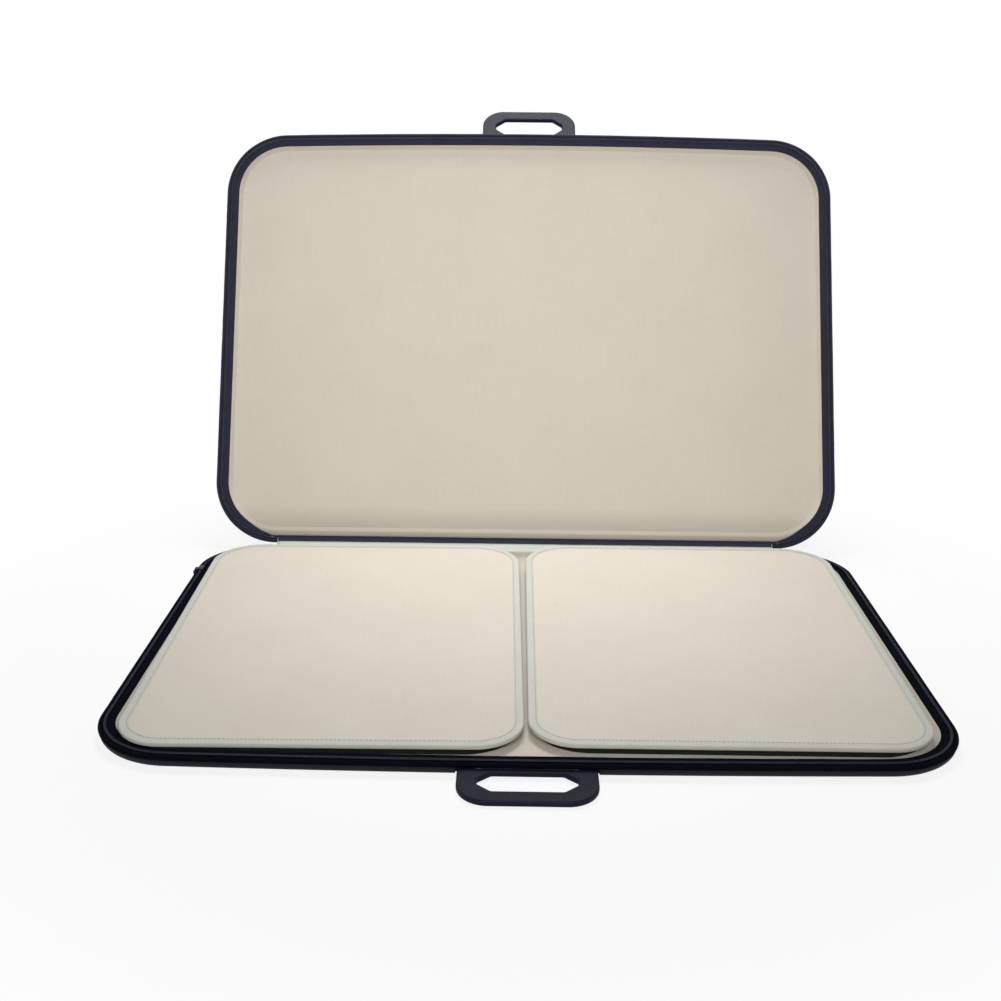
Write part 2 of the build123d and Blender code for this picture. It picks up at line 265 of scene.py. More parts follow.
# A stitch is a spindle: small circles along its length, fullest in the middle, laid along its tangent
def stitches(name, centres, tangents, ups, material, length, thick):
    sides = np.cross(ups, tangents)
    reach = np.array([-1, -0.75, 0, 0.75, 1]) * length * mm / 2
    girth = np.array([0, 0.75, 1, 0.75, 0]) * thick * mm / 2
    corners = 5
    turned = np.arange(corners)[None, :, None] * 2 * math.pi / corners
    upward = np.cos(turned) * ups[:, None, None, :]
    sideward = np.sin(turned) * sides[:, None, None, :]
    ring = girth[:, None, None] * (upward + sideward)
    points = centres[:, None, None, :] + reach[None, :, None, None] * tangents[:, None, None, :] + ring
    i, j = np.meshgrid(np.arange(len(reach) - 1) * corners, np.arange(corners), indexing="ij")
    after = (j + 1) % corners
    quad = np.stack([i + j, i + corners + j, i + corners + after, i + after], axis=-1).reshape(-1, 4)
    first = np.arange(len(centres))[:, None, None] * len(reach) * corners
    faces = (first + quad[None]).reshape(-1, 4)
    flat = np.zeros((faces.size, 2))
    return meshPiece(name, points.reshape(-1, 3), faces, flat, material, merge=True, sharp=80)


# Centres, tangents and upward directions of a row of stitches on a ring, from small steps along and upwards
def rowFrames(shape, steps, inset, height, place):
    centre = place(carry(shape, steps, inset, height))[:, 0]
    ahead = place(carry(shape, steps + 0.5, inset, height))[:, 0] - centre
    above = place(carry(shape, steps, inset, height + 1))[:, 0] - centre
    return centre, unit(ahead), unit(above)


class Wire:  # the value on a socket, so that shader sums read as sums
    def __init__(self, finish, socket):
        self.finish = finish
        self.socket = socket

    def sum(self, operation, *terms):
        return self.finish.node("ShaderNodeMath", dict(operation=operation), dict(enumerate(terms)))

    def __add__(self, other):
        return self.sum("ADD", self, other)

    def __radd__(self, other):
        return self.sum("ADD", other, self)

    def __sub__(self, other):
        return self.sum("SUBTRACT", self, other)

    def __rsub__(self, other):
        return self.sum("SUBTRACT", other, self)

    def __mul__(self, other):
        return self.sum("MULTIPLY", self, other)

    def __rmul__(self, other):
        return self.sum("MULTIPLY", other, self)

    def sine(self):
        return self.sum("SINE", self)

    def between(self, low, high):
        ends = {0: self, 1: low, 2: high, 3: 0.0, 4: 1.0}
        return self.finish.node("ShaderNodeMapRange", dict(clamp=True), ends)


class Finish:  # the nodes of a material or of the world, every one added through one method
    def __init__(self, owner):
        self.owner = owner
        owner.use_nodes = True
        self.tree = owner.node_tree
        self.tree.nodes.clear()

    def node(self, kind, settings=None, inputs=None, output=0):
        made = self.tree.nodes.new(kind)
        for key, value in (settings or {}).items():
            setattr(made, key, value)
        for key, value in (inputs or {}).items():
            if isinstance(value, Wire):
                self.tree.links.new(value.socket, made.inputs[key])
            else:
                made.inputs[key].default_value = value
        return Wire(self, made.outputs[output]) if len(made.outputs) else None

    def cut(self, scaleU=1.0, scaleV=1.0):
        flat = self.node("ShaderNodeUVMap", dict(uv_map="cut"))
        return self.stretch(flat, (scaleU, scaleV, 1.0))

    def solid(self, scale=(1.0, 1.0, 1.0)):
        return self.stretch(self.node("ShaderNodeTexCoord", output="Object"), scale)

    def stretch(self, vector, scale):
        return self.node("ShaderNodeVectorMath", dict(operation="MULTIPLY"), {0: vector, 1: scale})

    def part(self, vector, axis):
        return self.node("ShaderNodeSeparateXYZ", None, {0: vector}, axis)

    def noise(self, vector, scale, detail=2.0, rough=0.5):
        inputs = {"Vector": vector, "Scale": scale, "Detail": detail, "Roughness": rough}
        return self.node("ShaderNodeTexNoise", None, inputs)

    def blendColour(self, share, first, second):
        return self.node("ShaderNodeMix", dict(data_type="RGBA"), {0: share, 6: first, 7: second}, 2)

    def bump(self, height, strength, distance):
        inputs = {"Strength": strength, "Distance": distance, "Height": height}
        return self.node("ShaderNodeBump", None, inputs)

    # 1 where the camera sees it, directly, mirrored or through glass, and 0 where it only lights others
    def seen(self):
        rays = self.node("ShaderNodeLightPath", output="Is Camera Ray")
        rays = rays + self.node("ShaderNodeLightPath", output="Is Glossy Ray")
        rays = rays + self.node("ShaderNodeLightPath", output="Is Transmission Ray")
        return rays.between(0.0, 1.0)

    def close(self, **inputs):
        named = {key.replace("_", " "): value for key, value in inputs.items()}
        shader = self.node("ShaderNodeBsdfPrincipled", None, named)
        self.node("ShaderNodeOutputMaterial", None, {"Surface": shader})
        return self.owner


# A colour given as 0 to 255 screen values, as linear light
def screen(red, green, blue):
    values = np.array([red, green, blue]) / 255
    linear = np.where(values <= 0.04045, values / 12.92, ((values + 0.055) / 1.055) ** 2.4)
    return (*linear.tolist(), 1.0)


# Plain weave: threads both ways as sine ridges, checkered where they pass over each other, thicker threads
# as streaks along both ways and slow cloudiness in the colour. Towards a fold the colour may darken as
# painted shade, standing in for the shadow there.
def wovenCloth(
    name, colour, shade, thread, relief=0.35, streak=0.5, cloud=0.5, sheen=0.15, rough=0.9, fold=None
):
    finish = Finish(bpy.data.materials.new(name))
    flat = finish.cut()
    u = finish.part(flat, "X") * (2 * math.pi / (thread * mm))
    v = finish.part(flat, "Y") * (2 * math.pi / (thread * mm))
    checker = u.sine() * v.sine()
    streaks = finish.noise(finish.cut(900, 22), 1.0, 2.0) + finish.noise(finish.cut(22, 900), 1.0, 2.0)
    clouds = finish.noise(flat, 9.0, 3.0, 0.55)
    fine = finish.noise(flat, 160.0, 2.0)
    tone = 0.5 + (streaks - 1) * streak + (clouds - 0.5) * cloud + (fine - 0.5) * 0.25 + checker * 0.06
    height = checker * 0.5 + (streaks - 1) * 1.2 + fine * 0.4
    cloth = finish.blendColour(tone.between(0.0, 1.0), shade, colour)
    if fold:
        # Painted shade: over the span the colour is blended into the darker shade colour of the fold
        wearAndShade = finish.part(flat, "Y").between(*fold["span"])
        cloth = finish.blendColour(wearAndShade, cloth, fold["colour"])
    return finish.close(
        Base_Color=cloth,
        Roughness=rough - (clouds - 0.5) * 0.08,
        Sheen_Weight=sheen,
        Sheen_Roughness=0.5,
        Specular_IOR_Level=0.2,
        Normal=finish.bump(height, relief, 0.0002),
    )


# Ribbed or twilled band: slanted sine ridges along the strip and finer threads across, whose high parts get
# a painted highlight
def ribbedBand(name, colour, shade, rib, slant, relief=0.5, sheen=0.2, rough=0.75, shine=0.3):
    finish = Finish(bpy.data.materials.new(name))
    flat = finish.cut()
    u = finish.part(flat, "X") * (2 * math.pi / (rib * mm))
    v = finish.part(flat, "Y") * (2 * math.pi / (rib * mm))
    ridge = (u + v * slant).sine()
    thread = (u * 2.3 - v * 1.7).sine()
    dust = finish.noise(flat, 60.0, 3.0, 0.6)
    slow = finish.noise(flat, 12.0, 2.0)
    # Painted highlight: the ridge and thread terms make the high parts lighter
    tone = 0.45 + ridge * 0.16 + thread * 0.06 + (dust - 0.5) * 0.5 + (slow - 0.5) * 0.4
    return finish.close(
        Base_Color=finish.blendColour(tone.between(0.0, 1.0), shade, colour),
        Roughness=rough + (dust - 0.5) * 0.2,
        Sheen_Weight=sheen,
        Sheen_Roughness=0.4,
        Specular_IOR_Level=shine,
        Normal=finish.bump(ridge * 0.6 + thread * 0.2 + dust * 0.5, relief, 0.00025),
    )


# Moulded plastic: a fine eroded grain with slow waviness; corners and high spots rub lighter and smoother
def mouldedPlastic(name, colour, rubbed, grain=2200.0, rough=0.5, relief=0.12, shine=0.08):
    finish = Finish(bpy.data.materials.new(name))
    body = finish.solid()
    pits = finish.noise(body, grain, 2.0)
    slow = finish.noise(body, 35.0, 3.0, 0.6)
    edge = finish.node("ShaderNodeNewGeometry", output="Pointiness")
    rub = edge.between(0.5, 0.62) * 0.6 + (slow - 0.5) * 0.5
    return finish.close(
        Base_Color=finish.blendColour(rub.between(0.0, 1.0), colour, rubbed),
        Roughness=rough + (pits - 0.5) * 0.12 - rub * 0.1,
        Specular_IOR_Level=shine,
        Normal=finish.bump(pits, relief, 0.00012),
    )


# Drawn metal: fine lines along one way and soft spots, in the metal's colour and a darker one
def drawnMetal(name, colour, rough=0.35):
    finish = Finish(bpy.data.materials.new(name))
    lines = finish.noise(finish.solid((60.0, 2600.0, 2600.0)), 1.0, 2.0)
    spots = finish.noise(finish.solid(), 500.0, 3.0, 0.6)
    tone = (lines - 0.5) * 0.5 + (spots - 0.5) * 0.5 + 0.5
    shade = tuple(0.75 * value for value in colour[:3]) + (1.0,)
    return finish.close(
        Base_Color=finish.blendColour(tone.between(0.0, 1.0), shade, colour),
        Metallic=1.0,
        Roughness=rough + (lines - 0.5) * 0.2,
        Normal=finish.bump(lines, 0.08, 0.0001),
    )


# Painted metal: where an edge and a patch of noise meet, the paint has chipped to bare metal
def paintedMetal(name, colour, wearAndShade):
    finish = Finish(bpy.data.materials.new(name))
    body = finish.solid()
    edge = finish.node("ShaderNodeNewGeometry", output="Pointiness")
    chips = finish.noise(body, 700.0, 4.0, 0.65)
    bare = (edge.between(0.54, 0.7) * chips.between(0.4, 0.6)).between(0.3, 0.7)
    return finish.close(
        Base_Color=finish.blendColour(bare, colour, wearAndShade),
        Metallic=bare,
        Roughness=0.5 + (chips - 0.5) * 0.25,
        Specular_IOR_Level=0.15,
        Normal=finish.bump(chips, 0.06, 0.0001),
    )


# Open foam or pressed board: cells or fibres as noise at two sizes
def grainySolid(name, colour, shade, cell, relief):
    finish = Finish(bpy.data.materials.new(name))
    cells = finish.node("ShaderNodeTexVoronoi", None, {"Vector": finish.solid(), "Scale": 1000.0 / cell})
    fibres = finish.noise(finish.solid(), 400.0, 4.0, 0.7)
    tone = cells * 0.5 + fibres * 0.6
    return finish.close(
        Base_Color=finish.blendColour(tone.between(0.1, 0.9), shade, colour),
        Roughness=0.92 - fibres * 0.1,
        Specular_IOR_Level=0.15,
        Normal=finish.bump(tone, relief, 0.0004),
    )


colours = dict(
    lining=(screen(206, 198, 185), screen(192, 184, 170)),
    # Painted shade: a darker lining colour standing in for the shadow near the hinge
    hingeShade=screen(162, 154, 140),
    boardFace=(screen(213, 206, 194), screen(200, 191, 178)),
    binding=(screen(208, 208, 199), screen(183, 184, 175)),
    bindingThread=(screen(150, 150, 140), screen(126, 127, 117)),
    hinge=(screen(206, 208, 198), screen(180, 183, 173)),
    # The rims of lid and base are one fabric: the lid's colours are a lit copy, the base's a darker copy with
    # painted shade
    rim=(screen(36, 38, 60), screen(14, 15, 28)),
    shadedBaseRim=(screen(14, 16, 27), screen(4, 5, 10)),
    # Gusset and outer panel are one fabric: the cover colours are a darker copy with painted shade, the panel
    # colours a lighter copy with painted light
    cover=(screen(20, 22, 33), screen(8, 9, 15)),
    panel=(screen(52, 54, 70), screen(22, 23, 33)),
    underlay=(screen(34, 34, 36), screen(12, 12, 13)),
    handle=(screen(20, 22, 36), screen(40, 44, 66)),
    coil=(screen(26, 28, 42), screen(54, 56, 76)),
    anchor=(screen(24, 24, 30), screen(48, 48, 56)),
    foam=(screen(226, 220, 206), screen(190, 182, 166)),
    coreFoam=(screen(30, 31, 42), screen(12, 12, 18)),
    greyboard=(screen(176, 168, 154), screen(140, 132, 120)),
    steel=screen(72, 72, 78),
    slider=(screen(16, 17, 25), screen(62, 62, 70)),
)
# Painted shade on the lining: the span over which it darkens towards the hinge, where the boards shade it
paintedHingeShade = dict(span=(0.226, 0.27), colour=colours["hingeShade"])  # metres from the middle towards the hinge
liningCloth = wovenCloth("liningCloth", *colours["lining"], thread=0.8, fold=paintedHingeShade)
faceCloth = wovenCloth("faceCloth", *colours["boardFace"], thread=0.8, cloud=0.6)
hingeCloth = wovenCloth("hingeCloth", *colours["hinge"], thread=0.7, streak=0.35)
# Shaded and lit copies of one cover fabric: the gusset darker as painted shade, the panel lighter as painted
# light
shadedCoverCloth = wovenCloth(
    "shadedCoverCloth", *colours["cover"], thread=0.9, relief=0.6, streak=0.3, sheen=0.05, rough=0.8
)
litPanelCloth = wovenCloth(
    "litPanelCloth", *colours["panel"], thread=1.6, relief=0.8, streak=0.4, sheen=0.15, rough=0.8
)
bindingTape = ribbedBand(
    "bindingTape", *colours["binding"], rib=1.1, slant=0.0, relief=0.4, sheen=0.1, rough=0.85
)
bindingThread = ribbedBand("bindingThread", *colours["bindingThread"], rib=0.5, slant=0.6)
# Lit and shaded copies of one rim fabric: the base's is darker and has no sheen or shine, as painted shade
litLidRimBand = ribbedBand("litLidRimBand", *colours["rim"], rib=1.0, slant=0.9, sheen=0.12, shine=0.25)
shadedBaseRimBand = ribbedBand("shadedBaseRimBand", *colours["shadedBaseRim"], rib=1.0, slant=0.9, sheen=0.0, shine=0.01)
handlePlastic = mouldedPlastic("handlePlastic", *colours["handle"])
coilNylon = mouldedPlastic("coilNylon", *colours["coil"], grain=3500.0, rough=0.4, shine=0.3)
anchorPlastic = mouldedPlastic("anchorPlastic", *colours["anchor"], rough=0.5)
padFoam = grainySolid("padFoam", *colours["foam"], cell=0.9, relief=0.5)
coreFoam = grainySolid("coreFoam", *colours["coreFoam"], cell=0.9, relief=0.5)
underlayFoam = grainySolid("underlayFoam", *colours["underlay"], cell=0.8, relief=0.5)
greyboard = grainySolid("greyboard", *colours["greyboard"], cell=1.6, relief=0.15)
trimSteel = drawnMetal("trimSteel", colours["steel"])
sliderMetal = paintedMetal("sliderMetal", *colours["slider"])
print("materials:", len(bpy.data.materials))


# Gives a solid that no other piece stands for its finish
def dress(node, material):
    shown = nodes[node]
    shown.data.materials.clear()
    shown.data.materials.append(material)


for half in ("base", "lid"):
    dress(half + "_handle", handlePlastic)
    dress(half + "_handle_anchor", anchorPlastic)
    dress(half + "_stiffener_board", greyboard)
    dress(half + "_handle_pin", trimSteel)
    dress(half + "_anchor_rivets", trimSteel)
    dress(half + "_zipper_stops", sliderMetal)
for side in ("left", "right"):
    dress(side + "_board_core", greyboard)
dress("zipper_slider", sliderMetal)
dress("zipper_pull", sliderMetal)

pieces = []


# Puts a piece under its body, hides the solids that it stands for and counts it
def fit(piece, body, stands):
    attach(piece, body)
    if stands:
        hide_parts(*stands)
    pieces.append(piece)


places = dict(base=placeBase, lid=placeLid)
ringLength = ringWalk(case)[0][-1]

# Hinge cloth: one strip from rim to rim. Its height rises from the flange to the fold line in a smooth step
# on each side, and small waves run where it rises.
hinge = dict(
    reach=15.0, flat=7.5, flange=11.85, fold=14.6, end=0.25, half=317.5, along=90, ripple=0.22,
    thick=0.5, blend=2.5,
)


def hingeHeight(inset):
    rise = smooth(1 - (inset - hinge["end"]) / (hinge["flat"] - hinge["end"]))
    return hinge["flange"] + (hinge["fold"] - hinge["flange"]) * rise


def makeHinge():
    x = np.linspace(-hinge["half"], hinge["half"], hinge["along"])
    under = np.linspace(hinge["reach"], hinge["flat"], 5)
    inset = np.concatenate([under[:-1], np.linspace(hinge["flat"], hinge["end"], 10)])
    height = hingeHeight(inset)
    share = (height - hinge["flange"]) / (hinge["fold"] - hinge["flange"])
    waves = hinge["ripple"] * uneven(x[:, None], inset[None] * 6, wave=60, seed=21)
    waves = waves * (4 * share * (1 - share))
    y = case["depth"] / 2 - inset[None]
    grid = np.stack(np.broadcast_arrays(x[:, None], y, height + waves), axis=-1)
    mirrored = grid * np.array([-1, 1, 1])
    points = np.concatenate([placeBase(grid), placeLid(mirrored)[:, ::-1]], axis=1)
    reach = np.concatenate([[0], np.cumsum(np.linalg.norm(np.diff(points[0], axis=0), axis=1))])
    flat = np.stack(np.meshgrid(x * mm, reach, indexing="ij"), axis=-1)
    piece = gridPiece("hingeStrip", points, flat, hingeCloth)
    thicken(piece, hinge["thick"])
    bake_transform(piece)
    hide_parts("base_hinge_cloth", "lid_hinge_cloth")
    pieces.append(piece)


# Lining: under the tape, over the seam, down the wall and across the floor to the middle. The wall's height
# is a smooth fall between seam and foot. Corners gather in small folds that die out on the floor. Along the
# hinge the first rows of the lid's lining lap over the hinge cloth.
lining = dict(
    flange=12.4, underTape=14.2, underFall=(0.05, 0.02), seam=15.5, top=11.45, floor=5.75, foot=21.5,
    wallRows=16, floorRows=26, ripple=dict(base=0.25, lid=0.5), rippleFrom=16, rippleOver=6,
    gather=dict(base=0.55, lid=0.2), folds=34, foldsOnRuns=0.2, foldsOnFloor=0.4, fadeRows=1.5, sink=0.1,
    thick=0.6, lap=3.6, lapRows=(1, 0.35), overCloth=1.05, overRows=(1, 1, 0.8, 0.4), taper=40,
)


def makeLining(half):
    steps = ringSteps(case, runStep=9, turnSteps=22)
    t = np.linspace(0, 1, lining["wallRows"])
    foot = lining["foot"]
    under = [lining["flange"], lining["underTape"]]
    inset = np.concatenate([under, lining["seam"] + (foot - lining["seam"]) * t])
    fall = np.concatenate([lining["underFall"], smooth(t)])
    height = lining["top"] - (lining["top"] - lining["floor"]) * fall
    fromRear = np.minimum(steps, ringLength - steps)
    atHinge = smooth(1 - (fromRear - hinge["half"]) / lining["taper"])[:, None] * (half == "lid")
    laps = np.zeros(len(inset))
    laps[: len(lining["lapRows"])] = lining["lapRows"]
    raised = np.zeros(len(inset))
    raised[: len(lining["overRows"])] = lining["overRows"]
    insets = inset - lining["lap"] * laps * atHinge
    heights = height + lining["overCloth"] * raised * atHinge
    wall = carry(case, steps, insets, heights)
    edge = carry(case, steps, np.array([foot]), np.array([lining["floor"]]))
    share = np.linspace(1, 0, lining["floorRows"])[1:] ** 0.9
    floor = drawnIn(edge, share)
    points = np.concatenate([wall, floor], axis=1)
    spread = np.concatenate([np.hypot(np.diff(inset), np.diff(height)), [0]])[::-1].cumsum()[::-1]
    flatWall = carry(case, steps, foot - spread, 0 * inset)
    flat = flatFromAbove(np.concatenate([flatWall, floor], axis=1))
    settled = smooth((inset - lining["rippleFrom"]) / lining["rippleOver"])
    ripple = uneven(points[..., 0], points[..., 1], wave=190, seed=4)
    points[..., 2] += lining["ripple"][half] * ripple * np.concatenate([settled, np.ones(len(share))])
    fading = np.exp(-np.arange(len(share)) / lining["fadeRows"]) * lining["foldsOnFloor"]
    hump = np.concatenate([fall * (1 - fall) * 4, fading])
    wave = np.sin(steps / ringLength * 2 * math.pi * lining["folds"] + 1.7 * np.sin(steps / 37))
    wave = wave * (lining["foldsOnRuns"] + cornerShare(case, steps))
    points[..., 2] += lining["gather"][half] * wave[:, None] * hump[None]
    points[..., 2] = np.maximum(points[..., 2], lining["floor"] - lining["sink"])
    piece = gridPiece(half + "Lining", places[half](points), flat, liningCloth, closedRows=True, merge=True)
    thicken(piece, lining["thick"])
    fit(piece, half, [half + "_lining"])


# Outer cover: a flat panel, puffed in slow waves and drawn in at its seam, and a gusset that rises round it
# in a quarter turn to the piping and is open behind the handle
cover = dict(
    wall=1.2, round=7.0, top=8.3, thick=0.9, handleHalf=63.2, panelRows=22, hollow=0.5, hollowReach=5,
    puff=0.25, seam=10.6, seamLevel=0.12, pitch=4.6, stitch=3.4, thread=0.7,
)


def makeCover(half):
    steps = ringSteps(case, runStep=9, turnSteps=22)
    start = cover["wall"] + cover["round"]
    share = np.linspace(1, 0, cover["panelRows"])
    edge = carry(case, steps, np.array([start]), np.array([0.0]))
    panel = drawnIn(edge, share)
    hollow = np.exp(-((1 - share) * case["depth"] / 2 / cover["hollowReach"]) ** 2) * cover["hollow"]
    puff = cover["puff"] * uneven(panel[..., 0], panel[..., 1], wave=220, seed=9) + cover["puff"]
    panel[..., 2] += hollow[None] + puff * smooth((1 - share) * 8)[None]
    flat = flatFromAbove(panel)
    piece = gridPiece(
        half + "OuterPanel", places[half](panel), flat, litPanelCloth, closedRows=True, flip=True, merge=True
    )
    thicken(piece, cover["thick"])
    fit(piece, half, [half + "_outer_panel"])

    walked = ringWalk(case)[0]
    middle = (walked[4] + walked[5]) / 2
    handleEdge = cover["handleHalf"]
    run = np.sort(np.concatenate([steps, [middle - handleEdge, middle + handleEdge]]))
    run = np.concatenate([run[run >= middle + handleEdge], run[run <= middle - handleEdge] + ringLength])
    quarter = np.linspace(0, math.pi / 2, 9)
    inset = np.append(start - cover["round"] * np.sin(quarter), cover["wall"])
    height = np.append(cover["round"] * (1 - np.cos(quarter)), cover["top"])
    wall = carry(case, run, inset, height)
    flat = stripFlat(case, run, inset, height, False, False)
    piece = gridPiece(half + "Gusset", places[half](wall), flat, shadedCoverCloth)
    thicken(piece, cover["thick"])
    fit(piece, half, [half + "_side_gusset"])

    seam = np.arange(0, ringLength, cover["pitch"])
    frames = rowFrames(case, seam, cover["seam"], cover["seamLevel"], places[half])
    row = stitches(half + "PanelStitches", *frames, litLidRimBand, cover["stitch"], cover["thread"])
    fit(row, half, [])


# Piping: a round welt carried round the rim, a little lumpy in slow waves
piping = dict(inset=2.4, height=10.2, radius=2.32, sides=14, lump=0.05)


def makePiping(half):
    steps = ringSteps(case, runStep=6, turnSteps=26)
    turned = np.arange(piping["sides"]) * 2 * math.pi / piping["sides"]
    radius = piping["radius"] + piping["lump"] * np.sin(steps / 11 + 2 * np.sin(steps / 43))[:, None]
    inset = piping["inset"] + radius * np.cos(turned)
    height = piping["height"] + radius * np.sin(turned)
    points = carry(case, steps, inset, height)
    flat = stripFlat(case, steps, inset[0], height[0], True, True)
    material = litLidRimBand if half == "lid" else shadedBaseRimBand
    piece = gridPiece(
        half + "Piping", places[half](points), flat, material, closedRows=True, closedColumns=True, solid=True
    )
    fit(piece, half, [half + "_piping"])


# Zipper tape: a flat woven band with rounded edges that waves slightly and narrows to the hinge, with two
# rows of stitches, of which only the outer one goes on where it is narrow
tape = dict(
    outer=4.9, inner=16.2, narrow=9.8, taper=55, low=11.62, high=12.25, gap=316.4, wave=0.12, crown=0.25,
    rows=(13.9, 9.2), rowStart=4, rowLift=0.1, pitch=3.6, stitch=2.6, thread=0.5,
)


def makeTape(half):
    steps = ringSteps(case, runStep=5, turnSteps=26, gap=tape["gap"])
    across = np.linspace(0, 1, 9)
    top = tape["high"] - tape["crown"] * (2 * across - 1) ** 6
    share = np.concatenate([across, [1, 0]])
    inset = tape["outer"] + (tape["inner"] - tape["outer"]) * share
    fromRear = np.minimum(steps, ringLength - steps)
    nearHinge = smooth(1 - (fromRear - tape["gap"]) / tape["taper"])[:, None]
    insets = inset - (tape["inner"] - tape["narrow"]) * share * nearHinge
    height = np.concatenate([top, [tape["low"], tape["low"]]])
    wave = tape["wave"] * np.sin(steps / 17 + np.sin(steps / 61))
    heights = height + wave[:, None] * np.concatenate([np.ones(len(top)), [0, 0]])
    points = capped(carry(case, steps, insets, heights))
    flat = stripFlat(case, np.concatenate([steps[:1], steps, steps[-1:]]), inset, height, False, True)
    material = litLidRimBand if half == "lid" else shadedBaseRimBand
    piece = gridPiece(
        half + "ZipperTape", places[half](points), flat, material, closedColumns=True, solid=True, merge=True
    )
    fit(piece, half, [half + "_zipper_tape"])
    for number, inset in enumerate(tape["rows"]):
        first = tape["gap"] + (tape["taper"] if inset > tape["narrow"] else tape["rowStart"])
        seam = np.arange(first, ringLength - first, tape["pitch"])
        frames = rowFrames(case, seam, inset, tape["high"] + tape["rowLift"], places[half])
        name = half + "TapeStitches" + str(number)
        row = stitches(name, *frames, material, tape["stitch"], tape["thread"])
        fit(row, half, [])


# Zipper coil: a nylon wire wound in a flattened helix along the tape, one turn per pitch. The wire is a
# small circle in the plane of the outward and sideways directions.
coil = dict(inset=6.8, height=13.2, reach=1.05, rise=0.8, wire=0.34, pitch=2.2, gap=327, perTurn=8, sides=5)


def makeCoil(half):
    turns = int((ringLength - 2 * coil["gap"]) / coil["pitch"])
    count = turns * coil["perTurn"] + 1
    steps = np.linspace(coil["gap"], ringLength - coil["gap"], count)
    angle = np.arange(count) * 2 * math.pi / coil["perTurn"]
    inset = coil["inset"] + coil["reach"] * np.cos(angle)
    height = coil["height"] + coil["rise"] * np.sin(angle)
    path = places[half](carry(case, steps, inset[:, None], height[:, None])[:, 0])
    axis = places[half](carry(case, steps, coil["inset"], coil["height"])[:, 0])
    outward = unit(path - axis)
    sideways = unit(np.cross(np.gradient(path, axis=0), outward))
    turned = np.arange(coil["sides"])[None, :, None] * 2 * math.pi / coil["sides"]
    ring = np.cos(turned) * outward[:, None] + np.sin(turned) * sideways[:, None]
    points = path[:, None] + ring * coil["wire"] * mm
    first = np.repeat(path[:1, None], coil["sides"], 1)
    last = np.repeat(path[-1:, None], coil["sides"], 1)
    points = np.concatenate([first, points, last], axis=0)
    flat = np.zeros((count + 2, coil["sides"] + 1, 2))
    piece = gridPiece(half + "Coil", points, flat, coilNylon, closedColumns=True, solid=True, merge=True)
    fit(piece, half, [half + "_zipper_coil"])


# Foam of a half: a wall core, whose cross-section of (inset, height) points is carried round and cut back in
# a pocket behind the handle, and a pad as a closed slab
foam = dict(
    padInset=20.2, padLow=3.05, padHigh=4.95, padEdge=0.6, pocket=14.2, pocketTop=8.4, pocketHalf=66,
    wall=[
        (8.2, 1.05), (4.2, 2.6), (2.3, 6.0), (2.3, 8.1), (4.8, 8.15), (5.1, 8.4), (5.1, 11.4), (12.0, 11.4),
        (12.2, 10.9), (15.4, 10.85), (18.9, 5.0), (19.9, 4.9), (19.9, 1.05),
    ],
)


# A slab with quarter-round edges: bottom from the middle out, up round the rim, and top back to the middle
def closedSlab(name, shape, inset, low, high, edge, place, material, rows=12):
    steps = ringSteps(shape, runStep=18, turnSteps=14)
    share = np.linspace(0, 1, rows)
    quarter = np.linspace(0, math.pi / 2, 5)
    sines = edge * (1 - np.sin(quarter))
    cosines = edge * (1 - np.cos(quarter))
    insets = np.concatenate([inset + sines, inset + cosines])
    heights = np.concatenate([low + cosines, high - sines])
    rim = carry(shape, steps, insets, heights)
    bottom = drawnIn(rim[:, :1], share)
    top = drawnIn(rim[:, -1:], share[::-1])
    points = np.concatenate([bottom[:, :-1], rim, top[:, 1:]], axis=1)
    flat = flatFromAbove(points)
    return gridPiece(name, place(points), flat, material, closedRows=True, solid=True, merge=True)


def makeFoam(half):
    steps = ringSteps(case, runStep=9, turnSteps=16)
    walked = ringWalk(case)[0]
    middle = (walked[4] + walked[5]) / 2
    inPocket = (np.abs(steps - middle) < foam["pocketHalf"])[:, None]
    inset, height = np.array(foam["wall"]).T
    pocketed = np.where(height < foam["pocketTop"], np.maximum(inset, foam["pocket"]), inset)
    points = places[half](carry(case, steps, np.where(inPocket, pocketed, inset), height))
    flat = stripFlat(case, steps, inset, height, True, True)
    core = gridPiece(
        half + "WallFoam", points, flat, coreFoam, closedRows=True, closedColumns=True, solid=True
    )
    fit(core, half, [half + "_wall_core"])
    sizes = [foam[key] for key in ("padInset", "padLow", "padHigh", "padEdge")]
    pad = closedSlab(half + "PadFoam", case, *sizes, places[half], padFoam)
    fit(pad, half, [half + "_foam_pad"])


for half in ("base", "lid"):
    makeFoam(half)
    makeCover(half)
    makeLining(half)
    makePiping(half)
    makeTape(half)
    makeCoil(half)
    print(half, "half:", len(pieces), "pieces")

# Dark strip along the lid's hinge edge: a flat band with a slight crown, and one row of stitches
rearStrip = dict(
    near=1.7, far=9.4, thick=0.6, crown=0.3, half=316.8, lift=0.05,
    stitchInset=8.0, rowStart=4, pitch=4.2, stitch=3.0, thread=0.5,
)


